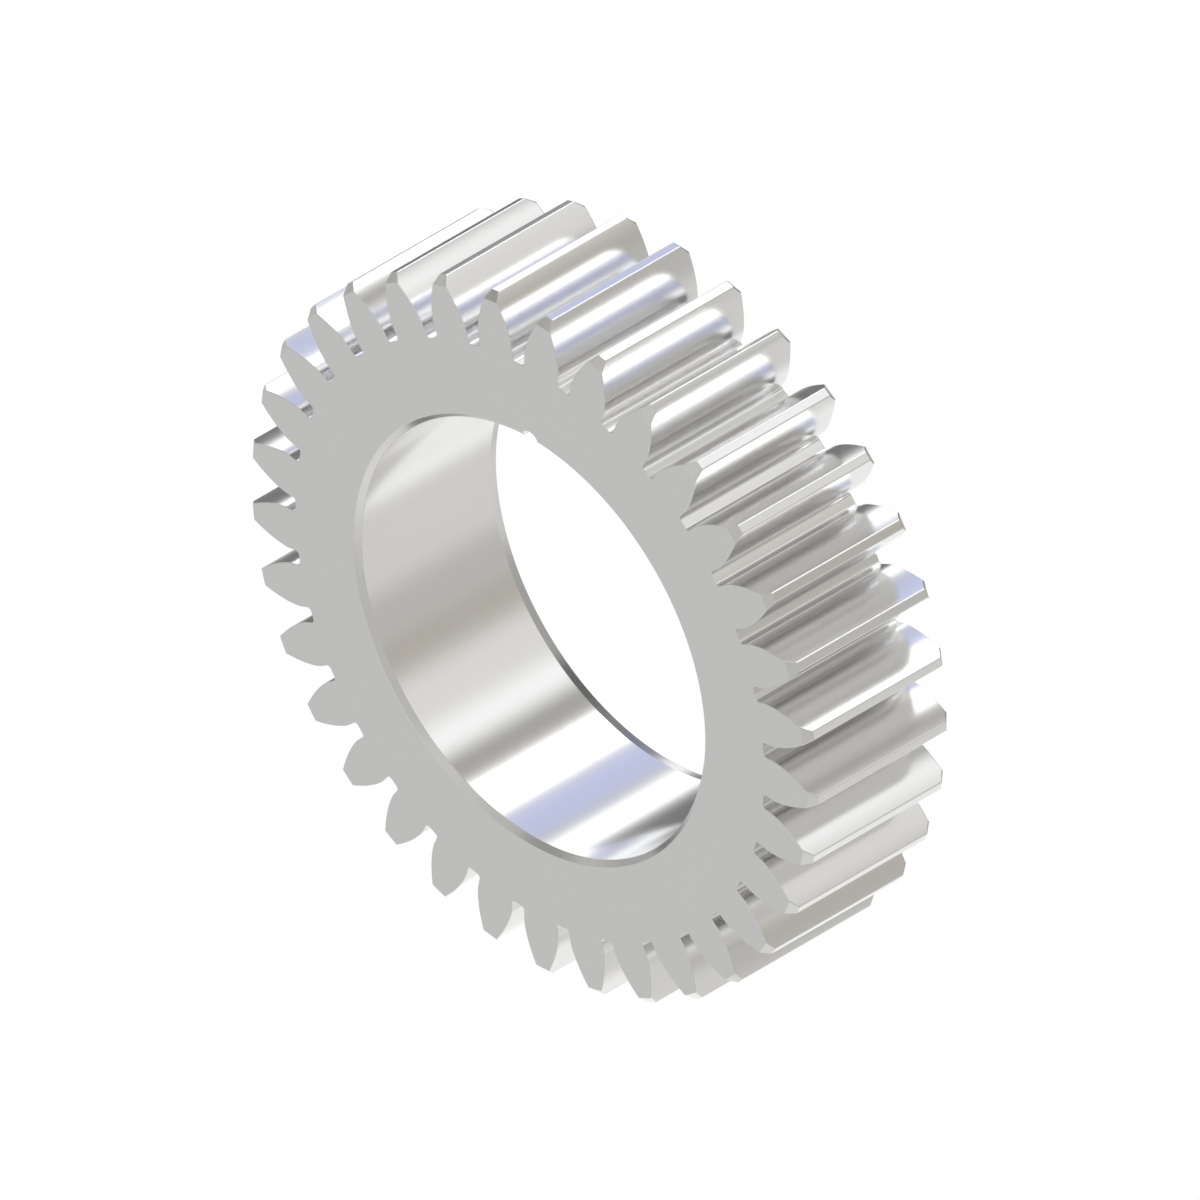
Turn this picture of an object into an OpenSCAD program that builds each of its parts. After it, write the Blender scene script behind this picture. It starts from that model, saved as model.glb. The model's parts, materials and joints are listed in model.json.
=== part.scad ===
// Spur gear ring that is pressed onto the front end of a crankshaft.
// It lies on its far end face, with the bore along +Z. The origin is on the bore's axis, at that
// face. One tooth points along +X, and the groove for the timing pin opens towards +Y.

/* [Teeth] */
// Number of teeth
teeth = 33; // [31:1:40]
// Pitch circle diameter divided by the number of teeth
tooth_module = 3; // [2.8:0.05:3.4]
// Pressure angle of the involute flanks, in degrees
pressure_angle = 20; // [18:0.5:24]
// Thickness of a tooth, measured along the pitch circle
tooth_thick = 5.5; // [4.8:0.05:5.9]
// Height of a tooth above the pitch circle
addendum = 4.6; // [3:0.1:5]
// Depth of a tooth space below the pitch circle
dedendum = 4.75; // [3.5:0.05:6]
// Radius of the round between a flank and the bottom of its tooth space
root_fillet = 0.55; // [0.2:0.05:0.9]

/* [Ring] */
// Width of the gear from one end face to the other
face_w = 26.7; // [16:0.1:40]
// Diameter of the bore
bore_d = 65.6; // [50:0.1:76]
// Size of the 45 degree chamfer at the near end of the bore
bore_chamfer = 0.8; // [0.3:0.05:2]
// Length of the lead-in taper at the far end of the bore
taper_length = 1.4; // [0.5:0.1:3]
// Angle between that taper and the bore's axis, in degrees
taper_angle = 10; // [5:1:20]
// Size of the 45 degree chamfer on the tooth tips at each end
tip_chamfer = 1.15; // [0.3:0.05:2]

/* [Pin groove] */
// Radius of the half-round groove in the bore wall
groove_r = 1.65; // [1:0.05:3]
// Turn of the groove about the bore, from the tooth on +X
groove_turn = 90; // [0:1:359]

/* [Hidden] */
// Steps of a full circle, for the turned surfaces
circle_steps = 180;
// Straight pieces in one involute flank
flank_steps = 9;
// Straight pieces in one root fillet
fillet_steps = 4;
// How far a cut runs past the surface that it opens
overcut = 1;

steel = [0.74, 0.735, 0.73];
degrees_per_radian = 180 / PI;

pitch_r = teeth * tooth_module / 2;
base_r = pitch_r * cos(pressure_angle);
tip_r = pitch_r + addendum;
root_r = pitch_r - dedendum;
bore_r = bore_d / 2;
taper_rise = taper_length * tan(taper_angle);
tooth_pitch = 360 / teeth;

// Half of the angle that a tooth fills where its flanks leave the base circle
half_tooth_at_base = tooth_thick / pitch_r / 2 * degrees_per_radian + involute_turn(roll_at(pitch_r));

// The involute ends at the base circle, or above the fillet where the root lies outside that circle
foot_r = max(base_r, root_r + root_fillet);
foot_turn = space_half_angle(foot_r);

// The largest fillet leaves no flat at the bottom of the tooth space
full_round = root_r * sin(foot_turn) / (1 - sin(foot_turn));
fillet_r = min(root_fillet, full_round);
fillet_turn = foot_turn - asin(fillet_r / (root_r + fillet_r));

// How far a taut string has unrolled from the base circle, in degrees, where its end reaches radius r
function roll_at(r) = sqrt(max(0, pow(r / base_r, 2) - 1)) * degrees_per_radian;

// How far the end of that string has turned about the centre, in degrees
function involute_turn(roll) = roll - atan(roll / degrees_per_radian);

// Half of the angle that a tooth space opens at radius r
function space_half_angle(r) = tooth_pitch / 2 - half_tooth_at_base + involute_turn(roll_at(r));

function polar(r, turn) = [r * cos(turn), r * sin(turn)];

// Points on one flank, from its foot outwards, spaced evenly in roll
function flank_points(outer_r) = [
    for (i = [0 : flank_steps])
        let (
            first = roll_at(foot_r),
            roll = first + (roll_at(outer_r) - first) * i / flank_steps,
            r = base_r * sqrt(1 + pow(roll / degrees_per_radian, 2))
        )
        polar(r, space_half_angle(r))
];

// Points on the fillet, from the bottom of the tooth space up to the straight foot of the flank
function fillet_points() = [
    for (i = [0 : fillet_steps])
        let (
            bottom = fillet_turn + 180,
            side = foot_turn + 90,
            turn = bottom + (side - bottom) * i / fillet_steps
        )
        polar(root_r + fillet_r, fillet_turn) + polar(fillet_r, turn)
];

function mirrored(points) = [
    for (i = [len(points) - 1 : -1 : 0]) [points[i].x, -points[i].y]
];

// Outline of one tooth space, opening along +X: both flanks, both fillets and the flat bottom
module space_outline() {
    side = concat(fillet_points(), flank_points(tip_r + overcut));
    polygon(concat(mirrored(side), side));
}

// One tooth space, cut right through the ring's width
module tooth_space() {
    translate([0, 0, -overcut])
        linear_extrude(face_w + 2 * overcut)
            space_outline();
}

// The turned ring before its teeth are cut, with the chamfers of the bore and of the tips, and the
// taper that leads the shaft into the bore
module blank() {
    rotate_extrude($fn = circle_steps)
        polygon([
            [bore_r + taper_rise, 0],
            [tip_r - tip_chamfer, 0],
            [tip_r, tip_chamfer],
            [tip_r, face_w - tip_chamfer],
            [tip_r - tip_chamfer, face_w],
            [bore_r + bore_chamfer, face_w],
            [bore_r, face_w - bore_chamfer],
            [bore_r, taper_length]
        ]);
}

// Half-round groove along the whole bore, centred on the bore wall
module pin_groove() {
    rotate([0, 0, groove_turn])
        translate([bore_r, 0, -overcut])
            cylinder(r = groove_r, h = face_w + 2 * overcut, $fn = circle_steps);
}

module crankshaft_gear() {
    color(steel)
        difference() {
            blank();
            for (i = [0 : teeth - 1])
                rotate([0, 0, (i + 0.5) * tooth_pitch])
                    tooth_space();
            pin_groove();
        }
}

crankshaft_gear();
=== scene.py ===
# %% [markdown]
# # A crankshaft gear
#
# The object is a spur gear ring that is pressed onto the front end of a crankshaft. It is one
# piece of steel: a wide bore with a half-round pin groove, two flat end faces, and 33 straight
# teeth whose tips are chamfered at both ends. The bore has a small chamfer at its near end and a
# slim lead-in taper at its far end. The imported CAD model fixes the gear's sizes and its place.
# This script builds the same shape as one finely rounded surface, gives it the finish of turned
# and ground steel, and sets it on a pale floor in a plain studio.
#
# The CAD model is loaded first, and its box gives the gear's width and tip radius.

# %% Load the frame
import json

import bpy
import numpy as np
from mathutils import Matrix, Vector


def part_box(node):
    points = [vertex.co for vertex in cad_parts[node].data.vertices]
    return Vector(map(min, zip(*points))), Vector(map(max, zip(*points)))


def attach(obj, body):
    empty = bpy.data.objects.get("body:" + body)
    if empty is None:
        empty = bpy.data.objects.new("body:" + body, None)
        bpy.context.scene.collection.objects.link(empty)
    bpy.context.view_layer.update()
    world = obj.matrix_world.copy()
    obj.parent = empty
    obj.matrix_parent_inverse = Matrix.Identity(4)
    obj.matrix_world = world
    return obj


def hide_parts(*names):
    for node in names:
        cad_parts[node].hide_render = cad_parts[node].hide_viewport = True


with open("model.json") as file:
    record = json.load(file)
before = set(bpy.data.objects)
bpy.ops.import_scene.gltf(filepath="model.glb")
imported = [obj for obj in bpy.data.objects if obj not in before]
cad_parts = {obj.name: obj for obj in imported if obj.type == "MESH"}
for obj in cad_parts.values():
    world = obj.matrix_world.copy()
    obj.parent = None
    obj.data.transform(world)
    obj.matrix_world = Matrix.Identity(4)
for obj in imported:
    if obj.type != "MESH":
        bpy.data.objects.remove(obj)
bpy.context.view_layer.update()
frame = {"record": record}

# %% [markdown]
# ## Sizes
#
# The width and the tip radius come from the CAD node's box, since one tooth points along +X, and
# the bore's radius comes from its mount in the record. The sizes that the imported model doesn't
# carry are named here with the values that the CAD model was made with. Everything is in metres.

# %% Sizes of the gear
mm = 0.001
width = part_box("crankshaft_gear")[1].z
tip_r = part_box("crankshaft_gear")[1].x
mounts = {mount["name"]: mount for mount in frame["record"]["mounts"]}
bore_r = mounts["bore"]["dims"]["r_mm"] * mm

teeth = 33
pitch_r = teeth * 3 * mm / 2
pressure_angle = np.radians(20)
base_r = pitch_r * np.cos(pressure_angle)
root_r = 44.75 * mm
tooth_thick = 5.5 * mm
root_fillet = 0.55 * mm
tip_chamfer = 1.15 * mm
bore_chamfer = 0.8 * mm
taper_length = 1.4 * mm
taper_rise = taper_length * np.tan(np.radians(10))
groove_r = 1.65 * mm
print(f"width {width / mm:.2f}, tip radius {tip_r / mm:.2f}, bore radius {bore_r / mm:.2f} mm")

# %% [markdown]
# ## The outline of a tooth
#
# A gear tooth's flank is an involute: the curve that the end of a taut string draws while it
# unrolls from the base circle. Modelling it by hand with a few control points would give a flank
# that reflects light in the wrong places, because polished steel shows every error of its slope.
# The involute has an exact formula, and so has its normal, so both are computed.
#
# Points of the plane are written as complex numbers, because multiplying by e^(i a) turns a point
# by the angle a. An outline is three arrays: its points, its outward normals, and its lift, which
# says how much the wall leans when the circle that clips it grows: 1 on a land, 0 on a flank.

# %% Involute flank
edge_r = 0.12 * mm
corner_r = 0.26 * mm


def unit(turn):
    """Point of the unit circle at an angle: e to the power of i times the angle."""
    return np.exp(1j * turn)


def along(direction, other):
    """Scalar product of two plane vectors: real part of one times the other's conjugate."""
    return np.real(direction * np.conj(other))


def roll_at(radius):
    """Roll angle at which the involute reaches a radius: root of (radius / base_r) squared less 1."""
    return np.sqrt((radius / base_r) ** 2 - 1)


pitch_roll = roll_at(pitch_r)
flank_start = tooth_thick / pitch_r / 2 + pitch_roll - np.arctan(pitch_roll)


def involute(roll):
    """Flank point: the base circle's point at start angle less roll, times 1 plus i times roll."""
    return base_r * unit(flank_start - roll) * (1 + 1j * roll)


print(f"a tooth starts {np.degrees(flank_start):.3f} degrees from its middle on the base circle")

# %% [markdown]
# Half a tooth runs from the middle of its land to the middle of the space beside it. The land and
# the flank meet in a small round, the flank goes straight down below the base circle, and a
# fillet leads into the bottom of the space. The corner's centre lies on the flank moved inwards
# by the corner's radius. That curve is again an involute of the same base circle, which gives the
# centre without any search.

# %% Half a tooth
land_steps, corner_steps, flank_steps, foot_steps, fillet_steps, root_steps = 2, 4, 12, 1, 8, 1


def run(first, last, steps):
    """Evenly spaced values from first up to but without last, one row for each pair of ends."""
    share = np.arange(steps) / steps
    return first + (last - first) * share


def half_tooth(tip):
    """Outline of half a tooth that is clipped at the radius tip, a column of radii.

    Land: tip times e^(ia). Corner: its centre plus its radius times e^(ia). Flank: the involute.
    Foot: a straight line at the flank's start angle. Fillet and bottom: circular arcs.
    """
    roll = corner_r / base_r + roll_at(tip - corner_r)
    climb = unit(flank_start - roll)
    centre = involute(roll) - 1j * corner_r * climb
    land_end = np.angle(centre)
    corner_end = flank_start - roll + np.pi / 2

    fillet_turn = flank_start + np.arcsin(root_fillet / (root_r + root_fillet))
    fillet_centre = (root_r + root_fillet) * unit(fillet_turn)
    foot_r = np.sqrt((root_r + root_fillet) ** 2 - root_fillet**2)

    same = np.ones_like(tip)
    land = run(0 * tip, land_end, land_steps)
    corner = run(land_end, corner_end, corner_steps)
    rolls = run(roll, 0 * tip, flank_steps)
    foot = run(base_r * same, foot_r * same, foot_steps)
    fillet = run((flank_start - np.pi / 2) * same, (fillet_turn - np.pi) * same, fillet_steps)
    floor = np.linspace(fillet_turn, np.pi / teeth, root_steps + 1) * same

    points = [
        tip * unit(land),
        centre + corner_r * unit(corner),
        involute(rolls),
        foot * unit(flank_start),
        fillet_centre + root_fillet * unit(fillet),
        root_r * unit(floor),
    ]
    normals = [
        unit(land),
        unit(corner),
        1j * unit(flank_start - rolls),
        1j * unit(flank_start) * np.ones_like(foot),
        -unit(fillet),
        unit(floor),
    ]
    lifts = [
        np.ones_like(land),
        along(unit(corner), climb) / along(unit(land_end), climb),
        *(np.zeros_like(part) for part in (rolls, foot, fillet, floor)),
    ]
    return tuple(np.concatenate(parts, axis=1) for parts in (points, normals, lifts))


half = half_tooth(np.array([[tip_r]]))
land_half = abs(half[0][0, land_steps].imag)
print(f"{half[0].shape[1]} points in half a tooth, land about {2 * land_half / mm:.2f} mm wide")

# %% [markdown]
# The other flank is the mirror image, which is the complex conjugate, and the 33 teeth are 33
# turned copies. The outline starts and ends in the middle of the tooth on +X.

# %% The whole outline
pitch_turn = 2 * np.pi / teeth


def tooth_outline(tip):
    """Outline of all the teeth: each half tooth, then its mirror image in the space's middle line, turned."""
    points, normals, lifts = half_tooth(tip)

    def ring(values):
        mirrored = np.conj(values[:, ::-1]) * unit(pitch_turn)
        pitch = np.concatenate([values[:, :-1], mirrored[:, :-1]], axis=1)
        turns = unit(pitch_turn * np.arange(teeth))
        return (turns[None, :, None] * pitch[:, None, :]).reshape(len(values), -1)

    pitch_lifts = np.concatenate([lifts[:, :-1], lifts[:, :0:-1]], axis=1)
    return ring(points), ring(normals), np.tile(pitch_lifts, (1, teeth))


loop_size = tooth_outline(np.array([[tip_r]]))[0].shape[1]
print(f"{loop_size} points around the teeth")

# %% [markdown]
# ## The outline of the bore
#
# The bore is a circle with a half-round groove for the timing pin, whose centre lies on the bore
# wall at +Y. Cutting it with a Boolean would leave ragged triangles at the groove's edges. Here
# the outline is drawn with the groove on the real axis, with a small round where wall and groove
# meet, and then turned a quarter. It has as many points as the outline of the teeth, so that the
# end faces can be ruled from one to the other.

# %% Bore outline
groove_steps = 16
quarter = loop_size // 4


def bore_outline(radius):
    """Outline of the bore at a column of radii, with the groove at +Y.

    Groove: its centre plus its radius times e^(ia). Corner: a round of radius corner_r whose centre
    is that much further from both centres than their circles. Wall: the radius times e^(ia).
    """
    grip = groove_r + corner_r
    lean = np.arccos(((radius + corner_r) ** 2 - bore_r**2 - grip**2) / (2 * bore_r * grip))
    centre = bore_r + grip * unit(lean)
    wall_start = np.angle(centre)
    slide = 1j * unit(lean)

    same = np.ones_like(radius)
    groove = run(0 * radius, lean, groove_steps)
    corner = run(lean + np.pi, wall_start + np.pi, corner_steps)
    wall_steps = loop_size // 2 - groove_steps - corner_steps
    wall = wall_start + (np.pi - wall_start) * np.arange(wall_steps + 1) / wall_steps * same

    points = [bore_r + groove_r * unit(groove), centre + corner_r * unit(corner), radius * unit(wall)]
    normals = [-unit(groove), unit(corner), -unit(wall)]
    lifts = [
        np.zeros_like(groove),
        -along(unit(corner), slide) / along(unit(wall_start), slide),
        np.ones_like(wall),
    ]

    def ring(parts, turn, mirror):
        left = np.concatenate(parts, axis=1)
        right = mirror(left[:, -2:0:-1])
        return np.roll(turn * np.concatenate([left, right], axis=1), quarter, axis=1)

    return ring(points, 1j, np.conj), ring(normals, 1j, np.conj), ring(lifts, 1, np.asarray)


print(f"{bore_outline(np.array([[bore_r]]))[0].shape[1]} points around the bore")

# %% [markdown]
# ## From outlines to one closed skin
#
# Machined edges are never perfectly sharp: a deburred edge is a round of about a tenth of a
# millimetre, and it shows as a fine bright or dark line. A Bevel modifier would have to guess at
# it where chamfers and curved flanks meet. Here each end is a short stack of levels: the round
# between end face and chamfer, the chamfer, and the round from chamfer to wall. Where the wall is
# upright, on a flank, the same levels just stand on top of each other. A chamfer is given as how
# far it spreads and how deep it goes. The tooth tips and the bore's near end have equal pairs,
# which is 45 degrees. The bore's far end has a long slim pair: it is the taper that leads the
# shaft in.

# %% Levels of one end
round_steps = 4
top_turn = np.linspace(0, 1, round_steps + 1)[:, None]


def end_levels(outline, full_r, spread, deep, side):
    """Levels of one end from the face down to the straight wall: points, depths and normals.

    The chamfer leans by the angle whose tangent is spread over deep. The first rows follow the
    round on the end face's edge. With the wall leaning by an angle a, its points stand off by
    e cos t less e tan((90 - a) / 2), at the depth e less e sin t, with t going from 90 degrees
    to a. The last rows follow the round between chamfer and wall in the same way. The side is 1
    where the wall faces away from the axis and -1 where it faces the axis.
    """
    face_radius = full_r - side * spread * np.ones_like(top_turn)
    points, normals, lifts = outline(face_radius)
    wall_lean = np.arctan(lifts * spread / deep)
    turn = np.pi / 2 + (wall_lean - np.pi / 2) * top_turn
    stand_off = edge_r * (np.cos(turn) - np.tan((np.pi / 2 - wall_lean) / 2))
    top = points + stand_off * normals, edge_r * (1 - np.sin(turn)), normals, turn

    lean = np.arctan(spread / deep)
    wall_turn = lean * np.array([[1.0], [0.5], [0.0]])
    radius = full_r - side * edge_r * (1 - np.cos(wall_turn))
    points, normals, lifts = outline(radius)
    depth = deep + edge_r * (np.tan(lean / 2) - np.sin(wall_turn)) * np.ones_like(lifts)
    bottom = points, depth, normals, np.arctan(lifts * np.tan(wall_turn))
    return [np.concatenate(pair) for pair in zip(top, bottom)]


# %% Both ends of a wall
def wall(outline, full_r, near_end, far_end, side):
    """A whole wall: the near end's levels down from the full width, then the far end's up from 0."""
    points, depth, normals, turn = end_levels(outline, full_r, *near_end, side)
    far = [values[::-1] for values in end_levels(outline, full_r, *far_end, side)]
    places = np.concatenate([points, far[0]])
    heights = np.concatenate([width - depth, far[1]])
    flat = np.concatenate([normals * np.cos(turn), far[2] * np.cos(far[3])])
    rise = np.concatenate([np.sin(turn), -np.sin(far[3])])
    return (
        np.stack([places.real, places.imag, heights], axis=-1),
        np.stack([flat.real, flat.imag, rise], axis=-1),
    )


tip_end = (tip_chamfer, tip_chamfer)
bore_near_end = (bore_chamfer, bore_chamfer)
bore_far_end = (taper_rise, taper_length)
outer_points, outer_normals = wall(tooth_outline, tip_r, tip_end, tip_end, 1)
inner_points, inner_normals = wall(bore_outline, bore_r, bore_near_end, bore_far_end, -1)
print(f"{len(outer_points)} levels of {outer_points.shape[1]} points on each wall")

# %% [markdown]
# The skin is one grid that closes on itself in both directions, like a torus: down the teeth,
# across the far face, up the bore and back across the near face. One plain ring in each face,
# just inside the roots of the teeth, keeps the face's ruled lines inside the teeth. Its points
# crowd under the middle of each tooth, so that the lines spread outwards and never cross a corner
# of the outline. Every point carries its exact normal.

# %% The skin's grid
ring_r = root_r - 1.25 * mm
crowding = 0.12 * pitch_turn
even = 2 * np.pi * np.arange(loop_size) / loop_size
ring_turn = unit(even - crowding * np.sin(teeth * even))


def face_ring(height, up):
    """A circle in an end face: radius times e^(ia) at one height, with the face's own normal."""
    flat = np.zeros(loop_size)
    place = np.stack([ring_r * ring_turn.real, ring_r * ring_turn.imag, flat + height], axis=-1)
    return place[None], np.stack([flat, flat, flat + up], axis=-1)[None]


far_points, far_normals = face_ring(0, -1)
near_points, near_normals = face_ring(width, 1)
skin = np.concatenate([outer_points, far_points, inner_points[::-1], near_points])
skin_normals = np.concatenate([outer_normals, far_normals, inner_normals[::-1], near_normals])
print(f"skin of {skin.shape[0]} by {skin.shape[1]} points")


# %% Make the mesh
def closed_grid(name, points, normals):
    """A mesh object from a grid that closes both ways: each point joins the next row and column."""
    rows, columns = points.shape[:2]
    index = np.arange(rows * columns).reshape(rows, columns)
    below = np.roll(index, -1, axis=0)
    quads = np.stack([index, below, np.roll(below, -1, axis=1), np.roll(index, -1, axis=1)], axis=-1)
    quads = quads.reshape(-1, 4)

    mesh = bpy.data.meshes.new(name)
    mesh.vertices.add(rows * columns)
    mesh.vertices.foreach_set("co", points.astype(np.float32).ravel())
    mesh.loops.add(quads.size)
    mesh.loops.foreach_set("vertex_index", quads.astype(np.int32).ravel())
    mesh.polygons.add(len(quads))
    mesh.polygons.foreach_set("loop_start", np.arange(0, quads.size, 4, dtype=np.int32))
    mesh.polygons.foreach_set("use_smooth", np.ones(len(quads), bool))
    mesh.update(calc_edges=True)
    mesh.validate()
    mesh.normals_split_custom_set_from_vertices(normals.reshape(-1, 3).tolist())
    made = bpy.data.objects.new(name, mesh)
    bpy.context.scene.collection.objects.link(made)
    return made


gear = closed_grid("gear", skin, skin_normals)
print(f"the gear has {len(gear.data.vertices)} points and {2 * len(gear.data.polygons)} triangles")

# %% Tie the gear to the frame
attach(gear, "root")
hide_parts("crankshaft_gear")

# %% [markdown]
# ## Writing shaders as expressions
#
# The finish and the studio are both sums and products of simple patterns. One small class wraps a
# socket, so that such a sum can be written as it is thought of, and one method makes every other
# kind of node.


# %% A socket that can be calculated with
class Wire:
    """One output socket of a node tree. Sums, differences and products of it add Math nodes."""

    def __init__(self, tree, socket=None):
        self.tree = tree
        self.socket = socket

    def node(self, kind, settings=None, inputs=None, out=0):
        """Adds a node: its type, then its settings, then the values or links of its sockets."""
        node = self.tree.nodes.new("ShaderNode" + kind)
        for name, value in (settings or {}).items():
            setattr(node, name, value)
        for name, value in (inputs or {}).items():
            if isinstance(value, Wire):
                self.tree.links.new(value.socket, node.inputs[name])
            else:
                node.inputs[name].default_value = value
        return Wire(self.tree, node.outputs[out] if len(node.outputs) else None)

    def math(self, operation, *values):
        """A Math node with this operation on the given values or wires."""
        return self.node("Math", {"operation": operation}, dict(enumerate(values)))

    def __add__(self, other):
        return self.math("ADD", self, other)

    def __radd__(self, other):
        return self.math("ADD", other, self)

    def __sub__(self, other):
        return self.math("SUBTRACT", self, other)

    def __rsub__(self, other):
        return self.math("SUBTRACT", other, self)

    def __mul__(self, other):
        return self.math("MULTIPLY", self, other)

    def __rmul__(self, other):
        return self.math("MULTIPLY", other, self)

    def soft_step(self, start, end):
        """0 up to start and 1 from end on, with a soft S-shaped climb between them."""
        ends = {"Value": self, "From Min": start, "From Max": end}
        return self.node("MapRange", {"interpolation_type": "SMOOTHSTEP"}, ends)


def fresh_tree(owner):
    """Empties the node tree of a material or world and gives a handle to build it with."""
    owner.use_nodes = True
    owner.node_tree.nodes.clear()
    return Wire(owner.node_tree)


# %% [markdown]
# ## Turned and ground steel
#
# The gear's steel is bare and bright, with almost mirror-like surfaces. The end faces were turned
# or ground flat, which leaves rings round the axis too fine to see one by one. The flanks carry
# faint lines along the teeth. The bore is honed, a little smoother, with faint lines round it.
# Painting these as an image would blur close up, so they are noise stretched along the way each
# tool travelled, in the object's own coordinates. They move roughness, bump and tone slightly.

# %% Steel
bright_steel = (0.832, 0.83, 0.828)
relief = 0.00003 * mm
line_fineness = 2600
honing_fineness = 2400
cloud_fineness = 60

steel = bpy.data.materials.new("ground_steel")
mat = fresh_tree(steel)
place = mat.node("TexCoord", out="Object")
facing = mat.node("SeparateXYZ", inputs={0: mat.node("NewGeometry", out="Normal")}, out="Z")
height = mat.node("SeparateXYZ", inputs={0: place}, out="Z")
level_place = mat.node("VectorMath", {"operation": "MULTIPLY"}, {0: place, 1: (1, 1, 0)})
reach = mat.node("VectorMath", {"operation": "LENGTH"}, {0: level_place}, out="Value")
on_face = mat.math("ABSOLUTE", facing).soft_step(0.8, 0.98)
in_bore = 1 - reach.soft_step(bore_r + bore_chamfer, bore_r + groove_r)


def marks(where, fineness, detail=2):
    """Noise of the given fineness, centred on 0, which runs to about plus or minus 0.3."""
    settings = {"Vector": where, "Scale": fineness, "Detail": detail, "Roughness": 0.6}
    return mat.node("TexNoise", inputs=settings, out=0) - 0.5


turning = marks(mat.node("CombineXYZ", inputs={"X": reach, "Y": height * 0.2}), line_fineness)
honing = marks(mat.node("CombineXYZ", inputs={"X": height, "Y": reach * 0.2}), honing_fineness)
drawn_out = mat.node("VectorMath", {"operation": "MULTIPLY"}, {0: place, 1: (1, 1, 0.03)})
grinding = marks(drawn_out, line_fineness)
cloud = marks(place, cloud_fineness, detail=1)

walls = grinding + in_bore * (honing - grinding)
grain = walls + on_face * (turning - walls)
tone = 1 + 0.012 * grain + 0.012 * cloud
colour = mat.node("VectorMath", {"operation": "SCALE"}, {0: bright_steel, "Scale": tone})
bump = mat.node("Bump", inputs={"Distance": relief, "Height": grain})
roughness = 0.2 - 0.03 * in_bore + 0.03 * grain + 0.02 * cloud
metal = {"Base Color": colour, "Metallic": 1.0, "Roughness": roughness}
shader = mat.node("BsdfPrincipled", inputs={**metal, "Normal": bump})
mat.node("OutputMaterial", inputs={"Surface": shader})
gear.data.materials.append(steel)
print(f"the steel has {len(steel.node_tree.nodes)} nodes")

# %% [markdown]
# ## The studio
#
# Bright metal has hardly any look of its own: it shows the room. The walls of this gear all face
# sideways, so from the photograph's side every one of them mirrors the same ring of the room, 35
# degrees below the horizon, and the tones on the bore are that ring unrolled. The room is a plain
# grey shell with twenty soft panels and gaps on it, among them wide pale ones, two bright ones, a
# dark gap and a blue gap. Their places were found by tracing what each wall mirrors, and their
# tones were then chosen one by one, to match this one photograph. Lamps would give hard spots on
# this metal, so the panels are painted on the world, each as a soft window of azimuth and
# elevation. The metal is so smooth that its own mirror directions find every panel, so the world
# isn't sampled as a lamp besides.

# %% Panels of the studio
shell_light = (0.65, 0.64, 0.61)
panels = {
    # azimuth from and to, softness of each end, elevation from and to, softness, light it adds
    "warm shade": (12, 31, 4, 4, -44, -15, 8, (-0.055, -0.075, -0.10)),
    "warm panel": (30, 74, 9, 5, -44, -15, 8, (0.345, 0.345, 0.345)),
    "warm core": (57.5, 71.5, 7, 5, -44, -15, 8, (0.39, 0.41, 0.44)),
    "narrow gap": (76.5, 89, 3, 2, -44, -15, 8, (-0.20, -0.20, -0.20)),
    "main panel": (92.2, 111.8, 3, 3, -46, -20, 5, (2.8, 2.8, 2.8)),
    "blue gap": (116, 138, 4, 6, -48, -20, 6, (0.06, 0.12, 0.46)),
    "second panel": (144.5, 163.5, 5, 4, -48, -20, 6, (1.25, 1.3, 1.38)),
    "dark gap": (168.5, 207, 6, 9, -60, -26, 6, (-0.42, -0.41, -0.38)),
    "pale panel": (220, 297, 3, 10, -42, -2, 5, (0.50, 0.51, 0.525)),
    "pale core": (222, 249, 6, 6, -42, -28, 5, (0.22, 0.23, 0.24)),
    "side panel": (290, 348, 8, 8, -56, -10, 9, (0.205, 0.205, 0.21)),
    "far wall": (235, 325, 20, 20, -4, 36, 20, (0.26, 0.26, 0.26)),
    "back wall": (190, 300, 15, 15, 22, 48, 8, (0.05, 0.06, 0.08)),
    "high shade": (130, 154, 5, 7, 22, 40, 5, (-0.25, -0.25, -0.24)),
    "low shade": (164, 192, 6, 6, 0, 16, 6, (-0.14, -0.14, -0.12)),
    "high panel": (60, 110, 10, 10, 45, 65, 8, (0.13, 0.13, 0.13)),
    "overhead": (-180, 180, 1, 1, 68, 99, 8, (0.35, 0.35, 0.35)),
    "front ground": (-4, 64, 8, 8, -60, -50, 5, (-0.15, -0.15, -0.14)),
    "side ground": (64, 168, 8, 8, -60, -48, 5, (-0.52, -0.51, -0.48)),
    "ground": (-180, 180, 1, 1, -99, -60, 4, (-0.52, -0.51, -0.48)),
}
print(f"the studio has {len(panels)} panels and gaps")

# %% Paint the panels on the world
world = bpy.data.worlds.new("studio")
bpy.context.scene.world = world
world.cycles.sampling_method = "NONE"
room = fresh_tree(world)
split = room.node("SeparateXYZ", inputs={0: room.node("TexCoord", out="Generated")}, out="X")
across, deep, up = (Wire(room.tree, split.socket.node.outputs[axis]) for axis in "XYZ")
azimuth = room.math("ARCTAN2", deep, across) * (180 / np.pi)
elevation = room.math("ARCSINE", up) * (180 / np.pi)


def window(value, start, end, start_soft, end_soft):
    """1 between start and end and 0 outside, with a soft step of each half width at its end."""
    rise = value.soft_step(start - start_soft, start + start_soft)
    fall = value.soft_step(end - end_soft, end + end_soft)
    return rise * (1 - fall)


def panel(start, end, start_soft, end_soft, low, high, soft, light):
    """Light of one panel: its colour times its windows of azimuth, turned to its middle, and elevation."""
    middle = (start + end) / 2
    turned = room.math("WRAP", azimuth - middle, 180, -180)
    sideways = window(turned, start - middle, end - middle, start_soft, end_soft)
    share = sideways * window(elevation, low, high, soft, soft)
    return room.node("VectorMath", {"operation": "SCALE"}, {0: light, "Scale": share})


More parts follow.
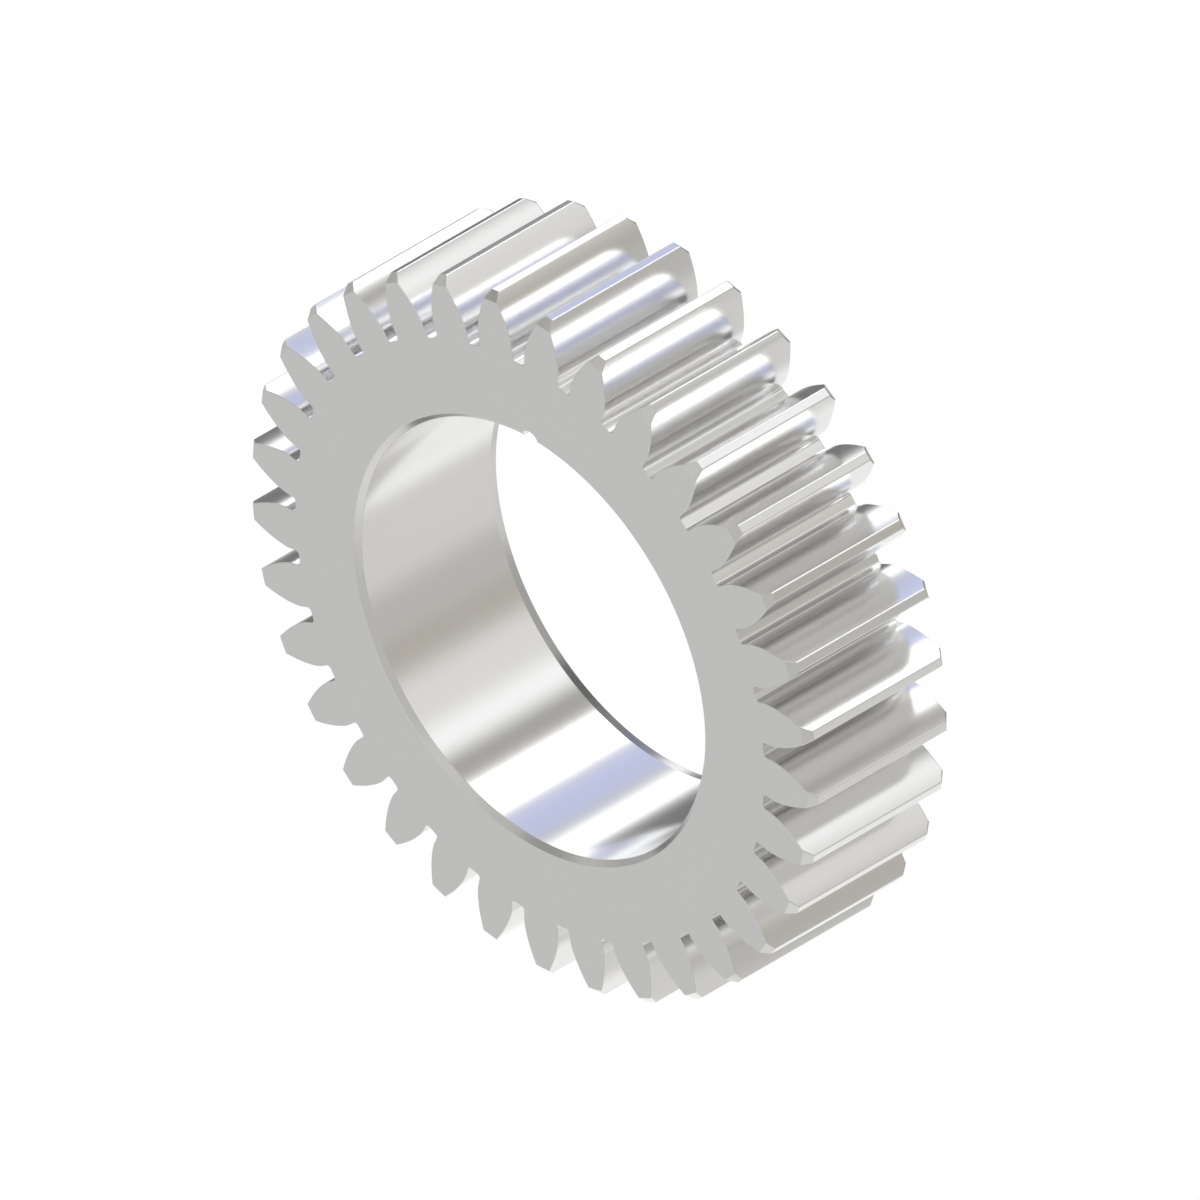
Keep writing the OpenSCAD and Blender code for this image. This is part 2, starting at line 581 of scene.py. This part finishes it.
light = room.node("CombineXYZ", inputs=dict(zip("XYZ", shell_light)))
for size in panels.values():
    light = room.node("VectorMath", {"operation": "ADD"}, {0: light, 1: panel(*size)})

# %% [markdown]
# The camera itself sees plain white behind the floor. That white is only for camera rays, so it
# adds no light to the object.

# %% White for the camera
room_strength = 0.8445
seen = room.node("LightPath", out="Is Camera Ray")
studio = room.node("Background", inputs={"Color": light, "Strength": room_strength})
white = room.node("Background", inputs={"Color": (1, 1, 1, 1), "Strength": 1.0})
backdrop = room.node("MixShader", inputs={0: seen, 1: studio, 2: white})
room.node("OutputWorld", inputs={"Surface": backdrop})
print(f"the world has {len(world.node_tree.nodes)} nodes")

# %% [markdown]
# ## The floor
#
# The gear lies on a pale floor. For the camera nearly all of the floor's tone is its own white,
# and the rest is lit by the room, which leaves hardly any shadow round the gear, as in a catalogue
# picture. The floor isn't mirrored in the metal: a white sheet right under the gear would fill
# every flank with one flat tone and hide the studio, which is what shows the shape of bright steel.

# %% Floor
floor_mesh = bpy.data.meshes.new("floor")
half_side = 2.0
drop = -0.05 * mm
signs = [(-1, -1), (1, -1), (1, 1), (-1, 1)]
corners = [(half_side * x, half_side * y, drop) for x, y in signs]
floor_mesh.from_pydata(corners, [], [(0, 1, 2, 3)])
floor = bpy.data.objects.new("floor", floor_mesh)
bpy.context.scene.collection.objects.link(floor)
floor.visible_glossy = False

paper = bpy.data.materials.new("pale_floor")
sheet = fresh_tree(paper)
matt = sheet.node("BsdfDiffuse", inputs={"Color": (0.95, 0.95, 0.95, 1)})
glow = sheet.node("Emission", inputs={"Color": (1, 1, 1, 1), "Strength": 1.0})
own_white = 0.99
share = sheet.node("LightPath", out="Is Camera Ray") * own_white
surface = sheet.node("MixShader", inputs={0: share, 1: matt, 2: glow})
sheet.node("OutputMaterial", inputs={"Surface": surface})
floor_mesh.materials.append(paper)

# %% [markdown]
# ## The camera
#
# The photograph is an isometric view without perspective: the bore's axis, the groove's direction
# and the direction of the tooth on +X are all seen at the same angle. So the camera is
# orthographic and looks along the diagonal of the three axes, with +Y pointing up in the picture.
# The picture is 1200 pixels wide. Its scale and the place of the near face's centre in it set the
# camera's width and its aim.

# %% Camera
picture = 1200
pixel = 0.135037 * mm
right = Vector((1, 0, -1)).normalized()
upward = Vector((-1, 2, -1)).normalized()
back = Vector((1, 1, 1)).normalized()
face_pixel = (529.4, 640.5)
aim = Vector((0, 0, width))
aim += right * (picture / 2 - face_pixel[0]) * pixel + upward * (face_pixel[1] - picture / 2) * pixel

lens = bpy.data.cameras.new("camera")
lens.type = "ORTHO"
lens.ortho_scale = picture * pixel
lens.clip_start, lens.clip_end = 0.01, 10
camera = bpy.data.objects.new("camera", lens)
bpy.context.scene.collection.objects.link(camera)
turned = Matrix((right, upward, back)).transposed()
camera_distance = 0.5
camera.matrix_world = Matrix.Translation(aim + camera_distance * back) @ turned.to_4x4()
bpy.context.scene.camera = camera
bpy.context.scene.view_settings.view_transform = "Standard"
print(f"the camera sees {lens.ortho_scale / mm:.1f} mm across")

# %% [markdown]
# ## How deep the reflections go
#
# Two polished flanks face each other across every tooth space, like a pair of mirrors, and a ray
# can bounce between them many times before it leaves. Cycles normally stops such a ray after four
# reflections and takes it for black, which leaves the roots of the teeth too dark. Steel sends
# back most of the light each time, so a ray is followed through twelve reflections here.

# %% Reflections
most_reflections = 12
bpy.context.scene.cycles.glossy_bounces = most_reflections
print(f"a ray is followed through {most_reflections} reflections")
